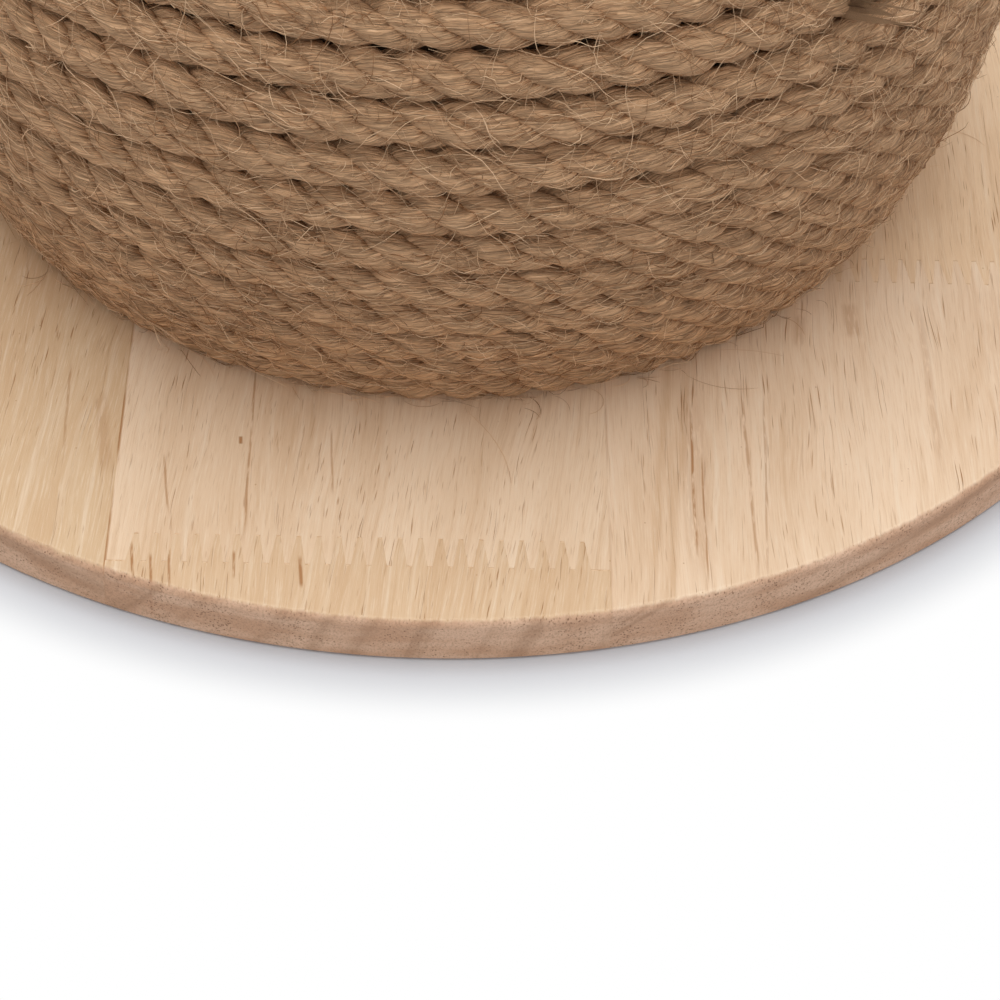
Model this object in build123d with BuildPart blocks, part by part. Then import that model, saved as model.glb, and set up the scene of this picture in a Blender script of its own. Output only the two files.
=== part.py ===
from build123d import *
from math import asin, ceil, cos, degrees, floor, pi, radians, sin, sqrt, tan
import os

import numpy as np

# A cat scratching ball: a ball wound with jute rope on a round rubberwood board.
# Millimetres, +Z up, the origin at the centre of the board's underside.
# The front faces -Y, and the wood's grain runs along Y.

# Board
board_diameter = 320.0
board_thickness = 10.0
top_arris_radius = 1.5
bottom_chamfer = 0.6
stave_width = 94.0
# How far the middle stave's centre lies to the left of the board's centre
middle_stave_shift = 13.5

# Finger joints, across the middle stave and the right one, set in from the board's front rim
middle_joint_inset = 18.0
right_joint_inset = 101.5
finger_pitch = 3.8
finger_length = 7.5
finger_tip = 0.8
finger_tip_gap = 0.3

# Ball
ball_diameter = 236.0
ball_seat_diameter = 200.0

# Rope
rope_diameter = 8.9
turn_gap_least = 0.45
glue_film = 0.2
winding_start = 135.0
pole_turn_radius = 9.6
start_room = 0.3
tail_room = 4.5
gap_sample_step = 1.2

# Core shells
core_wall = 4.0
core_floor = 5.0
lip_depth = 6.0
lip_wall = 2.0
lip_gap = 0.15

# Screws
screw_count = 4
screw_circle_diameter = 90.0
screw_diameter = 4.8
screw_length = 28.0
screw_point = 4.0
screw_head_diameter = 9.2
screw_head_angle = 90.0
screw_head_sink = 0.3
board_hole_gap = 0.2
pilot_gap = 0.05
pilot_spare_depth = 2.0
boss_wall = 4.5
boss_height = 22.0
recess_width = 1.3
recess_length = 4.6
recess_depth = 2.2

# Worked out from the sizes above
board_radius = board_diameter / 2
first_glue_line = -middle_stave_shift - stave_width / 2
middle_joint_y = middle_joint_inset - board_radius
right_joint_y = right_joint_inset - board_radius
ball_radius = ball_diameter / 2
ball_centre_z = board_thickness + sqrt(ball_radius**2 - (ball_seat_diameter / 2) ** 2)
rope_radius = rope_diameter / 2
rope_sphere_radius = ball_radius - rope_radius
core_radius = ball_radius - rope_diameter - glue_film
core_inner_radius = core_radius - core_wall
pilot_radius = screw_diameter / 2 + pilot_gap
screw_head_radius = screw_head_diameter / 2
screw_tip_z = screw_head_sink + screw_length


os.makedirs("parts", exist_ok=True)


def export(part, label):
    """Names a finished piece and writes it as one STEP file."""
    part.label = label
    export_step(part, f"parts/{label}.step")


def glue_line_x(index):
    """Where a glue line between two staves runs, counted from the left."""
    return first_glue_line + index * stave_width


def finger_line(left, right, joint_y, low_trim, high_trim):
    """Points of a finger joint's zigzag from one glue line to the next, with a flat shoulder at each end."""
    low = joint_y - finger_length / 2
    high = joint_y + finger_length / 2
    flank = finger_pitch / 2 - finger_tip
    trimmed_low = finger_tip / 2 + low_trim * flank / finger_length
    trimmed_high = finger_tip / 2 + high_trim * flank / finger_length
    count = floor((right - left - finger_pitch) / finger_pitch)
    first = (left + right) / 2 - (count - 1) * finger_pitch / 2
    points = [(left, low + low_trim)]
    for index in range(count):
        middle = first + index * finger_pitch
        points += [
            (middle - finger_pitch / 2 + trimmed_low, low + low_trim),
            (middle - trimmed_high, high - high_trim),
            (middle + trimmed_high, high - high_trim),
            (middle + finger_pitch / 2 - trimmed_low, low + low_trim),
        ]
    points.append((right, low + low_trim))
    return points


# The whole board before it is split into staves: a round blank with eased edges.
with BuildPart() as board_blank:
    Cylinder(board_radius, board_thickness, align=(Align.CENTER, Align.CENTER, Align.MIN))
    fillet(board_blank.edges().group_by(Axis.Z)[-1], top_arris_radius)
    chamfer(board_blank.edges().group_by(Axis.Z)[0], bottom_chamfer)

screw_places = [
    Plane(
        origin=(
            screw_circle_diameter / 2 * cos(2 * pi * index / screw_count),
            screw_circle_diameter / 2 * sin(2 * pi * index / screw_count),
            0,
        ),
        z_dir=(0, 0, -1),
    )
    for index in range(screw_count)
]


def board_block(label, left, right, front=None, rear=None):
    """One block of the board, between two glue lines and, where it has them, two finger joints."""
    front_side = [(left, -board_diameter), (right, -board_diameter)]
    if front is not None:
        front_side = finger_line(left, right, front, finger_tip_gap, 0)
    rear_side = [(left, board_diameter), (right, board_diameter)]
    if rear is not None:
        rear_side = finger_line(left, right, rear, 0, finger_tip_gap)
    with BuildPart() as block:
        with BuildSketch():
            with BuildLine():
                Polyline(*front_side, *reversed(rear_side), close=True)
            make_face()
        extrude(amount=board_thickness)
        add(board_blank.part, mode=Mode.INTERSECT)
        with Locations(*screw_places):
            CounterSinkHole(
                radius=screw_diameter / 2 + board_hole_gap,
                counter_sink_radius=screw_head_radius + board_hole_gap + screw_head_sink,
                counter_sink_angle=screw_head_angle,
            )
    export(block.part, label)


board_block("base_stave_left", -board_diameter, glue_line_x(0))
board_block("base_stave_middle_front", glue_line_x(0), glue_line_x(1), rear=middle_joint_y)
board_block("base_stave_middle_rear", glue_line_x(0), glue_line_x(1), front=middle_joint_y)
board_block("base_stave_right_front", glue_line_x(1), glue_line_x(2), rear=right_joint_y)
board_block("base_stave_right_rear", glue_line_x(1), glue_line_x(2), front=right_joint_y)
board_block("base_stave_far_right", glue_line_x(2), board_diameter)

# The lower shell of the core: a bowl with a flat floor on the board and a boss for each screw.
core_foot_angle = degrees(asin((board_thickness - ball_centre_z) / core_radius))
core_floor_top = board_thickness + core_floor
core_floor_angle = degrees(asin((core_floor_top - ball_centre_z) / core_inner_radius))
with BuildPart() as core_lower_shell:
    with BuildSketch(Plane.XZ):
        with BuildLine():
            outer = CenterArc((0, ball_centre_z), core_radius, core_foot_angle, -core_foot_angle)
            inner = CenterArc((0, ball_centre_z), core_inner_radius, core_floor_angle, -core_floor_angle)
            Line(outer @ 1, inner @ 1)
            Polyline(inner @ 0, (0, core_floor_top), (0, board_thickness), outer @ 0)
        make_face()
    revolve(axis=Axis.Z)
    with Locations(Plane.XY.offset(board_thickness)):
        with PolarLocations(screw_circle_diameter / 2, screw_count):
            Cylinder(
                pilot_radius + boss_wall,
                core_floor + boss_height,
                align=(Align.CENTER, Align.CENTER, Align.MIN),
            )
    with Locations(Plane.XY):
        with PolarLocations(screw_circle_diameter / 2, screw_count):
            Cylinder(
                pilot_radius,
                screw_tip_z + pilot_spare_depth,
                align=(Align.CENTER, Align.CENTER, Align.MIN),
                mode=Mode.SUBTRACT,
            )
export(core_lower_shell.part, "core_lower_shell")

# The upper shell: a dome with a lip that stands inside the lower shell's rim.
lip_outer = sqrt(core_inner_radius**2 - lip_depth**2) - lip_gap
lip_inner = lip_outer - lip_wall
with BuildPart() as core_upper_shell:
    with BuildSketch(Plane.XZ):
        with BuildLine():
            outer = CenterArc((0, ball_centre_z), core_radius, 0, 90)
            inner = CenterArc((0, ball_centre_z), core_inner_radius, 0, 90)
            Line(outer @ 0, inner @ 0)
            Line(outer @ 1, inner @ 1)
        make_face()
        with BuildLine():
            Polyline(
                (lip_inner, ball_centre_z - lip_depth),
                (lip_outer, ball_centre_z - lip_depth),
                (lip_outer, ball_centre_z),
                (core_inner_radius + core_wall / 4, ball_centre_z),
                (core_inner_radius + core_wall / 4, ball_centre_z + lip_depth),
                (lip_inner, ball_centre_z + lip_depth),
                close=True,
            )
        make_face()
    revolve(axis=Axis.Z)
export(core_upper_shell.part, "core_upper_shell")

# The wood screws: countersunk heads sunk just below the board's underside, with a cross recess.
head_height = (screw_head_radius - screw_diameter / 2) / tan(radians(screw_head_angle / 2))
with BuildPart() as screw:
    with BuildSketch(Plane.XZ):
        with BuildLine():
            Polyline(
                (0, screw_head_sink),
                (screw_head_radius, screw_head_sink),
                (screw_diameter / 2, screw_head_sink + head_height),
                (screw_diameter / 2, screw_tip_z - screw_point),
                (0, screw_tip_z),
                close=True,
            )
        make_face()
    revolve(axis=Axis.Z)
    with Locations((0, 0, screw_head_sink)):
        Box(recess_length, recess_width, 2 * recess_depth, mode=Mode.SUBTRACT)
        Box(recess_width, recess_length, 2 * recess_depth, mode=Mode.SUBTRACT)
with BuildPart() as base_screws:
    with PolarLocations(screw_circle_diameter / 2, screw_count):
        add(screw.part)
export(base_screws.part, "base_screws")

# The rope: level turns round the lower ball that step up a turn at the back, and a steady spiral at the top.
lowest_turn_latitude = asin((board_thickness + glue_film + rope_radius - ball_centre_z) / rope_sphere_radius)
last_turn_latitude = pi / 2 - asin(pole_turn_radius / rope_sphere_radius)
winding_arc = (last_turn_latitude - lowest_turn_latitude) * rope_sphere_radius - start_room - tail_room
turn_count = floor(winding_arc / (rope_diameter + turn_gap_least))
turn_climb = winding_arc / turn_count / rope_sphere_radius
knots_of_turn = (0, 0.5, 0.75)


def rope_knot(turns):
    """The rope's place and direction after so many turns, as two vectors."""
    whole = floor(turns)
    spread = turns / turn_count
    latitude = lowest_turn_latitude + turn_climb * (whole + spread * (turns - whole))
    latitude += start_room / rope_sphere_radius * min(turns, 1.0) ** 2
    rate = turn_climb * spread / (2 * pi)
    tail = max(0.0, turns - (turn_count - 1))
    latitude += tail_room / rope_sphere_radius * tail**2
    rate += tail_room / rope_sphere_radius * 2 * tail / (2 * pi)
    bearing = radians(winding_start) + 2 * pi * turns
    outward = Vector(cos(bearing), sin(bearing), 0)
    along = Vector(-sin(bearing), cos(bearing), 0)
    up = Vector(0, 0, 1)
    place = (outward * cos(latitude) + up * sin(latitude)) * rope_sphere_radius + up * ball_centre_z
    direction = along * cos(latitude) + (up * cos(latitude) - outward * sin(latitude)) * rate
    return place, direction.normalized()


def biarc(start, start_direction, end, end_direction):
    """Two tangent arcs from one place and direction to another."""
    span = end - start
    both = start_direction + end_direction
    square = 2 * (1 - start_direction.dot(end_direction))
    reach = (sqrt(span.dot(both) ** 2 + square * span.dot(span)) - span.dot(both)) / square
    first_corner = start + start_direction * reach
    second_corner = end - end_direction * reach
    middle = (first_corner + second_corner) * 0.5
    TangentArc(start, middle, tangent=start_direction)
    TangentArc(middle, end, tangent=second_corner - first_corner)


with BuildPart() as rope_winding:
    with BuildLine() as rope_line:
        knots = [turn + share for turn in range(turn_count) for share in knots_of_turn] + [turn_count]
        places = [rope_knot(turns) for turns in knots]
        Line(places[0][0] - places[0][1] * rope_diameter, places[0][0])
        for (start, start_direction), (end, end_direction) in zip(places, places[1:]):
            biarc(start, start_direction, end, end_direction)
        Line(places[-1][0], places[-1][0] + places[-1][1] * rope_diameter)
    with BuildSketch(Plane(origin=rope_line.wires()[0] @ 0, z_dir=rope_line.wires()[0] % 0)):
        Circle(rope_radius)
    sweep(path=rope_line.wires()[0])
export(rope_winding.part, "rope_winding")


def least_gap(edges, step, clear_run):
    """The least space between stretches of the rope that lie at least a given run apart along it."""
    points = []
    for edge in edges:
        samples = ceil(edge.length / step)
        points += [tuple(edge @ (index / samples)) for index in range(samples)]
    points = np.array(points)
    run = ceil(clear_run / step) + 1
    least = min(
        float(((points[index + run :] - points[index]) ** 2).sum(axis=1).min())
        for index in range(len(points) - run)
    )
    return sqrt(least) - rope_diameter


rope_length = sum(edge.length for edge in rope_line.edges())
rope_gap = least_gap(rope_line.edges(), gap_sample_step, 3 * rope_diameter)
solid_share = rope_winding.part.volume / (pi * rope_radius**2 * rope_length)
print("turns of rope", turn_count, "at a pitch of", round(winding_arc / turn_count, 3))
print("rope length", round(rope_length))
print("least gap of the rope to itself", round(rope_gap, 3))
print("volume against section times length", round(solid_share, 5))
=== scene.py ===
"""Looks of a cat scratching ball: a ball wound with jute rope, on a round board of rubberwood.

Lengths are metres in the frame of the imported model, with +Z up and the front facing -Y. Materials work in
millimetres, because a grain line or a fibre is a fraction of one.
"""

import logging
import math
from collections.abc import Mapping, Sequence
from dataclasses import dataclass, field
from enum import Enum

import bmesh
import bpy
import numpy as np
from mathutils import Matrix, Vector


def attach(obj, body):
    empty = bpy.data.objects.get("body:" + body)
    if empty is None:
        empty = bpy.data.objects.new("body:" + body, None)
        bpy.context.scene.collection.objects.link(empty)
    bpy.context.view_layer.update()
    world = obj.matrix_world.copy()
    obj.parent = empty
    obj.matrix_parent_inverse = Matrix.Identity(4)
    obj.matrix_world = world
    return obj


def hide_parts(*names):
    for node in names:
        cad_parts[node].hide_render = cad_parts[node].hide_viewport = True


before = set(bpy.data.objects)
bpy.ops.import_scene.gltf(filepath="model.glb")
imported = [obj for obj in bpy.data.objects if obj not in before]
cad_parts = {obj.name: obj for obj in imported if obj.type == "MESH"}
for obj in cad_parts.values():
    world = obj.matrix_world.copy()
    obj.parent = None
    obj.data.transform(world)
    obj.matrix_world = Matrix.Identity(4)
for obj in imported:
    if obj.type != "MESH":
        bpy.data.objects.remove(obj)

log = logging.getLogger("scratching_ball")

MM = 0.001
BODY = "root"

Colour = tuple[float, float, float, float]


def rgb(red: float, green: float, blue: float) -> Colour:
    """Returns an opaque colour from linear shares of red, green and blue."""
    return (red, green, blue, 1.0)


class Value:
    """A socket in a shader's tree, on which Python's operators add Math nodes."""

    def __init__(self, shader: "Shader", socket: bpy.types.NodeSocket) -> None:
        """Keeps the shader and the output socket."""
        self.shader = shader
        self.socket = socket

    def __add__(self, other: "Value | float") -> "Value":
        """Returns this value plus another."""
        return self.shader.math("ADD", self, other)

    __radd__ = __add__

    def __sub__(self, other: "Value | float") -> "Value":
        """Returns this value less another."""
        return self.shader.math("SUBTRACT", self, other)

    def __rsub__(self, other: float) -> "Value":
        """Returns a number less this value."""
        return self.shader.math("SUBTRACT", other, self)

    def __mul__(self, other: "Value | float") -> "Value":
        """Returns this value times another."""
        return self.shader.math("MULTIPLY", self, other)

    __rmul__ = __mul__

    def __truediv__(self, other: "Value | float") -> "Value":
        """Returns this value over another."""
        return self.shader.math("DIVIDE", self, other)

    def __rtruediv__(self, other: float) -> "Value":
        """Returns a number over this value."""
        return self.shader.math("DIVIDE", other, self)

    def __abs__(self) -> "Value":
        """Returns this value without its sign."""
        return self.shader.math("ABSOLUTE", self)


class Shader:
    """A material or a world under construction."""

    def __init__(self, name: str, world: bool = False) -> None:
        """Starts an empty material, or a world.

        Args:
            name: Its name.
            world: Whether it is a world.
        """
        self.material = (bpy.data.worlds if world else bpy.data.materials).new(name)
        self.material.use_nodes = True
        self.tree = self.material.node_tree
        self.tree.nodes.clear()

    def node(
        self,
        kind: str,
        settings: Mapping[str, object] | None = None,
        inputs: Mapping[str | int, object] | None = None,
    ) -> bpy.types.Node:
        """Adds one node.

        Args:
            kind: The node's type.
            settings: What is set on the node first, where stops are a ramp's places and colours.
            inputs: The values or links of its sockets, by name or place.

        Returns:
            The node.
        """
        made = self.tree.nodes.new(kind)
        for name, value in (settings or {}).items():
            if name == "stops":
                ramp = made.color_ramp
                while len(ramp.elements) < len(value):
                    ramp.elements.new(1.0)
                for element, (place, colour) in zip(ramp.elements, value):
                    element.position = place
                    element.color = colour
            else:
                setattr(made, name, value)
        for key, value in (inputs or {}).items():
            if isinstance(value, Value):
                self.tree.links.new(value.socket, made.inputs[key])
            else:
                made.inputs[key].default_value = value
        return made

    def math(self, operation: str, *values: "Value | float") -> Value:
        """Returns the result of a Math node on one to three values."""
        made = self.node("ShaderNodeMath", {"operation": operation}, dict(enumerate(values)))
        return Value(self, made.outputs[0])

    def place(self) -> tuple[Value, Value, Value]:
        """Returns the surface's place on the object, as x, y and z in millimetres."""
        spot = self.node("ShaderNodeTexCoord")
        scaled = self.node(
            "ShaderNodeVectorMath",
            {"operation": "SCALE"},
            {0: Value(self, spot.outputs["Object"]), "Scale": 1 / MM},
        )
        parts = self.node("ShaderNodeSeparateXYZ", inputs={0: Value(self, scaled.outputs[0])})
        return tuple(Value(self, parts.outputs[axis]) for axis in range(3))

    def vector(self, x: "Value | float", y: "Value | float", z: "Value | float") -> Value:
        """Returns three values as one vector."""
        return Value(self, self.node("ShaderNodeCombineXYZ", inputs={0: x, 1: y, 2: z}).outputs[0])

    def attribute(self, name: str) -> Value:
        """Returns the number that the mesh keeps under a name."""
        return Value(self, self.node("ShaderNodeAttribute", {"attribute_name": name}).outputs["Fac"])

    def noise(self, place: Value, detail: float = 2.0, roughness: float = 0.5) -> Value:
        """Returns smooth noise, about 0.5 on average, at a place in units of its own grain."""
        inputs = {"Vector": place, "Scale": 1.0, "Detail": detail, "Roughness": roughness}
        made = self.node("ShaderNodeTexNoise", inputs=inputs)
        return Value(self, made.outputs["Fac"])

    def cells(self, place: Value) -> tuple[Value, Value]:
        """Returns how far a place is from the nearest scattered point, and that point's own number."""
        made = self.node("ShaderNodeTexVoronoi", inputs={"Vector": place, "Scale": 1.0, "Randomness": 1.0})
        return Value(self, made.outputs["Distance"]), Value(self, made.outputs["Color"])

    def step(self, value: Value, low: float, high: float) -> Value:
        """Returns a smooth rise from 0 at low to 1 at high, or a fall where low is the larger."""
        inputs = {0: value, 1: min(low, high), 2: max(low, high)}
        inputs |= {3: 0.0, 4: 1.0} if low < high else {3: 1.0, 4: 0.0}
        made = self.node("ShaderNodeMapRange", {"interpolation_type": "SMOOTHSTEP"}, inputs)
        return Value(self, made.outputs[0])

    def mix(self, share: "Value | float", low: "Value | Colour", high: "Value | Colour") -> Value:
        """Returns a colour between two."""
        made = self.node("ShaderNodeMix", {"data_type": "RGBA"}, {0: share, 6: low, 7: high})
        return Value(self, made.outputs[2])

    def end(self, share: Value, low: bpy.types.Node, high: bpy.types.Node, kind: str) -> None:
        """Ends the tree, in an output of some kind, with two shaders: the second one where the share is 1."""
        inputs = {0: share, 1: Value(self, low.outputs[0]), 2: Value(self, high.outputs[0])}
        mixed = self.node("ShaderNodeMixShader", inputs=inputs)
        self.node(kind, inputs={"Surface": Value(self, mixed.outputs[0])})

    def seen(self) -> Value:
        """Returns 1 for a ray whose hit is seen, straight from the camera, mirrored or through a piece."""
        ray = self.node("ShaderNodeLightPath")
        kinds = ("Is Camera Ray", "Is Glossy Ray", "Is Transmission Ray")
        straight, mirrored, through = (Value(self, ray.outputs[kind]) for kind in kinds)
        return self.math("MINIMUM", straight + mirrored + through, 1.0)

    def finish(
        self,
        colour: Value,
        roughness: "Value | float",
        height: Value | None = None,
        relief: float = 0.0001,
        constants: Mapping[str, float] | None = None,
    ) -> bpy.types.Material:
        """Joins the surface up and ends the material.

        Args:
            colour: The colour of the surface.
            roughness: Its roughness.
            height: A height between 0 and 1 that makes its small relief.
            relief: How much a height of 1 stands up, in metres.
            constants: The shader's other sockets, each the same all over.

        Returns:
            The finished material.
        """
        inputs = {"Base Color": colour, "Roughness": roughness, **(constants or {})}
        if height is not None:
            bump = self.node("ShaderNodeBump", inputs={"Strength": 1.0, "Distance": relief, "Height": height})
            inputs["Normal"] = Value(self, bump.outputs[0])
        surface = self.node("ShaderNodeBsdfPrincipled", inputs=inputs)
        self.node("ShaderNodeOutputMaterial", inputs={"Surface": Value(self, surface.outputs[0])})
        return self.material


class Grain(Enum):
    """How a block of wood was cut from its log."""

    PLAIN = "plain"
    FIGURED = "figured"


@dataclass(frozen=True)
class GrainMark:
    """One line or stain that follows the grain, from one place on the board to another, in millimetres."""

    x: float
    y: float
    end_x: float
    end_y: float
    width: float
    strength: float


@dataclass(frozen=True)
class RubberwoodFinish:
    """Sanded rubberwood, cut with its grain along Y.

    A block's log has its pith at pith_x and pith_depth, and leans by lean, so that its rings draw straight
    bands on one block and arches on another. All lengths are millimetres.
    """

    name: str
    tone: Colour
    grain: Grain = Grain.PLAIN
    shift: float = 0.0
    pith_x: float = 0.0
    pith_depth: float = -60.0
    lean: float = 0.0
    ring_width: float = 7.0
    pore_length: float = 14.0
    pore_share: float = 0.5
    slant: float = 0.0
    glue_lines: tuple[tuple[float, float], ...] = ()
    marks: tuple[GrainMark, ...] = ()
    board_radius: float = 160.0
    arris: float = 1.5
    late_tone: Colour = rgb(0.64, 0.40, 0.215)
    pale_tone: Colour = rgb(0.94, 0.77, 0.58)
    pore_tone: Colour = rgb(0.42, 0.19, 0.065)
    end_tone: Colour = rgb(0.56, 0.32, 0.198)

    def build(self) -> bpy.types.Material:
        """Returns the wood's material."""
        shader = Shader(self.name)
        x, y, z = shader.place()
        bend = shader.noise(shader.vector(x * 0.02 + self.shift, y * 0.008, z * 0.02)) - 0.5
        wave = shader.noise(shader.vector(x * 0.12, y * 0.03 + self.shift, z * 0.1)) - 0.5
        across = x + bend * 14.0 + wave * 1.6 + y * self.slant
        rings = self._rings(shader, across, y, z)
        fibre = shader.noise(shader.vector(across * 3.4, y * 0.10 + self.shift, z * 3.4), 4.0, 0.72)
        band = shader.noise(shader.vector(across * 0.75, y * 0.014 + self.shift, z * 0.7), 3.0, 0.6)
        cloud = shader.noise(shader.vector(across * 0.09, y * 0.014 + self.shift, z * 0.1), 2.0)
        pores = self._pores(shader, across, y, z)
        end = self._end_grain(shader, x, y)

        colour = shader.mix(shader.step(cloud, 0.40, 0.72) * 0.30, self.tone, self.late_tone)
        colour = shader.mix(rings * (0.55 if self.grain is Grain.FIGURED else 0.30), colour, self.late_tone)
        colour = shader.mix(shader.step(band, 0.50, 0.78) * 0.45, colour, self.late_tone)
        colour = shader.mix(shader.step(band, 0.48, 0.24) * 0.45, colour, self.pale_tone)
        colour = shader.mix(shader.step(fibre, 0.50, 0.68) * 0.36, colour, self.late_tone)
        colour = shader.mix(shader.step(fibre, 0.49, 0.32) * 0.42, colour, self.pale_tone)
        speck, own = shader.cells(shader.vector(x / 4.0, y / 4.5, self.shift))
        dust = shader.step(speck, 0.055, 0.03) * shader.step(own, 0.42, 0.36)
        colour = shader.mix(dust * 0.45, colour, self.pore_tone)
        for mark in self.marks:
            colour = shader.mix(self._mark(shader, mark, x + wave * 1.2, y), colour, self.pore_tone)
        colour = shader.mix(pores, colour, self.pore_tone)
        colour = shader.mix(end * 0.90, colour, self._end_colour(shader, x, y, z, rings))
        for line, strength in self.glue_lines:
            seam = shader.step(abs(x - line), 0.34, 0.10)
            patch = shader.step(shader.noise(shader.vector(3.0, y * 0.06, 0.0)), 0.34, 0.60)
            colour = shader.mix(seam * patch * (1 - end * 0.75) * strength, colour, self.pore_tone)
        height = 0.6 + fibre * 0.30 - pores * 0.5 - end * self._end_pores(shader, x, y, z) * 0.5
        roughness = 0.46 + fibre * 0.14 + end * 0.2
        return shader.finish(colour, roughness, height, 0.00016, {"Specular IOR Level": 0.35})

    def _rings(self, shader: Shader, across: Value, y: Value, z: Value) -> Value:
        """Returns how dark the growth rings are, from 0 to 1."""
        sideways = across - self.pith_x
        depth = z - self.pith_depth + y * self.lean
        out = shader.math("SQRT", sideways * sideways + depth * depth) / self.ring_width
        wide = shader.noise(shader.vector(out, self.shift, y * 0.001), 3.0, 0.6)
        return shader.step(wide, 0.50, 0.68)

    def _pores(self, shader: Shader, across: Value, y: Value, z: Value) -> Value:
        """Returns how dark the long open pores are, from 0 to 1."""
        stagger = shader.noise(shader.vector(across * 1.3, self.shift, z * 1.3), 2.0, 0.8) * 5.0
        crowd = shader.noise(shader.vector(across * 0.10, y * 0.018, self.shift), 2.0)
        crowd = shader.step(crowd, 0.36, 0.62)
        total = 0.0
        layers = (
            (0.50, 0.40, 0.27, self.pore_share + 0.08, 0.58),
            (0.75, 0.70, 0.24, self.pore_share + 0.02, 0.86),
            (1.40, 1.1, 0.13, self.pore_share + 0.06, 0.92),
            (2.60, 2.2, 0.075, 0.52, 0.92),
        )
        for width, length, size, share, strength in layers:
            spot = shader.vector(across / width, y / (self.pore_length * length) + stagger + width, z / width)
            near, own = shader.cells(spot)
            pore = shader.step(near, size, size * 0.4) * shader.step(own, share, share - 0.1)
            total = total + pore * strength
        return shader.math("MINIMUM", total * (0.40 + crowd * 0.60), 0.92)

    def _mark(self, shader: Shader, mark: GrainMark, x: Value, y: Value) -> Value:
        """Returns how strongly one mark shows, from 0 to its strength."""
        lean = (mark.end_x - mark.x) / (mark.end_y - mark.y)
        aside = abs(x - y * lean - (mark.x - mark.y * lean))
        low, high = sorted((mark.y, mark.end_y))
        fade = (high - low) * 0.2
        ends = shader.step(y, low, low + fade) * shader.step(y, high, high - fade)
        broken = shader.step(shader.noise(shader.vector(x * 1.6, y * 0.20, mark.x), 3.0), 0.28, 0.52)
        return shader.step(aside, mark.width * 0.8, mark.width * 0.2) * ends * broken * mark.strength

    def _end_grain(self, shader: Shader, x: Value, y: Value) -> Value:
        """Returns 1 on the rim where it cuts the grain, and 0 on the faces and at the board's sides."""
        ragged = (shader.noise(shader.vector(x * 0.5, y * 0.1, self.shift), 3.0) - 0.5) * 1.0
        radius = shader.math("SQRT", x * x + y * y)
        start, full = self.board_radius - self.arris * 0.85, self.board_radius - self.arris * 0.25
        return shader.step(radius + ragged, start, full) * shader.step(abs(y) / radius, 0.18, 0.62)

    def _end_pores(self, shader: Shader, x: Value, y: Value, z: Value) -> Value:
        """Returns the dots that open pores draw on end grain, from 0 to 1."""
        near, own = shader.cells(shader.vector(x / 0.52, y / 3.0 + self.shift, z / 0.52))
        crowd = shader.step(shader.noise(shader.vector(x * 0.09, self.shift, z * 0.35)), 0.30, 0.62)
        return shader.step(near, 0.38, 0.16) * shader.step(own, 0.60, 0.45) * crowd

    def _end_colour(self, shader: Shader, x: Value, y: Value, z: Value, rings: Value) -> Value:
        """Returns the colour of the end grain."""
        blotch = shader.noise(shader.vector(x * 0.07, y * 0.07 + self.shift, z * 0.3), 3.0)
        grit = shader.noise(shader.vector(x * 2.2, y * 0.3 + self.shift, z * 2.2), 3.0, 0.7)
        colour = shader.mix(shader.step(blotch, 0.35, 0.68), self.end_tone, rgb(0.71, 0.46, 0.315))
        colour = shader.mix(shader.step(grit, 0.46, 0.64) * 0.45, colour, rgb(0.29, 0.155, 0.09))
        colour = shader.mix(rings * 0.50, colour, rgb(0.30, 0.155, 0.083))
        return shader.mix(self._end_pores(shader, x, y, z) * 0.85, colour, rgb(0.18, 0.075, 0.03))


@dataclass(frozen=True)
class GlueFinish:
    """Dried wood glue mixed with sanding dust, at the tips of the finger joints."""

    name: str = "joint_glue"
    tone: Colour = rgb(0.86, 0.63, 0.41)
    dark_tone: Colour = rgb(0.66, 0.43, 0.24)

    def build(self) -> bpy.types.Material:
        """Returns the glue's material."""
        shader = Shader(self.name)
        x, y, z = shader.place()
        dust = shader.noise(shader.vector(x * 1.1, y * 1.1, z * 1.1), 3.0)
        colour = shader.mix(shader.step(dust, 0.38, 0.66), self.tone, self.dark_tone)
        return shader.finish(colour, 0.5 + dust * 0.2, dust, 0.00004)


@dataclass(frozen=True)
class PlasticFinish:
    """The moulded plastic of the core, which shows only between the turns; its dark brown tone is painted shade
    for the gaps between the turns.
    """

    name: str = "core_plastic"
    # Dark brown as painted shade in the gaps between the turns.
    tone: Colour = rgb(0.19, 0.11, 0.060)
    dust_tone: Colour = rgb(0.30, 0.185, 0.105)

    def build(self) -> bpy.types.Material:
        """Returns the plastic's material."""
        shader = Shader(self.name)
        x, y, z = shader.place()
        dust = shader.step(shader.noise(shader.vector(x * 0.3, y * 0.3, z * 0.3), 4.0, 0.65), 0.45, 0.7)
        grain = shader.noise(shader.vector(x * 3.0, y * 3.0, z * 3.0), 2.0)
        colour = shader.mix(dust * 0.6, self.tone, self.dust_tone)
        return shader.finish(colour, 0.62 + dust * 0.2, grain, 0.00004)


@dataclass(frozen=True)
class ZincFinish:
    """Zinc plated steel, for the screws under the board."""

    name: str = "zinc_steel"
    tone: Colour = rgb(0.62, 0.61, 0.57)
    dull_tone: Colour = rgb(0.44, 0.43, 0.40)

    def build(self) -> bpy.types.Material:
        """Returns the steel's material."""
        shader = Shader(self.name)
        x, y, z = shader.place()
        spangle = shader.noise(shader.vector(x * 1.4, y * 1.4, z * 1.4), 4.0, 0.7)
        scratch = shader.noise(shader.vector(x * 9.0, y * 1.2, z * 9.0), 2.0)
        colour = shader.mix(shader.step(spangle, 0.40, 0.65), self.tone, self.dull_tone)
        return shader.finish(colour, 0.32 + spangle * 0.18, scratch, 0.00003, {"Metallic": 1.0})


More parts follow.
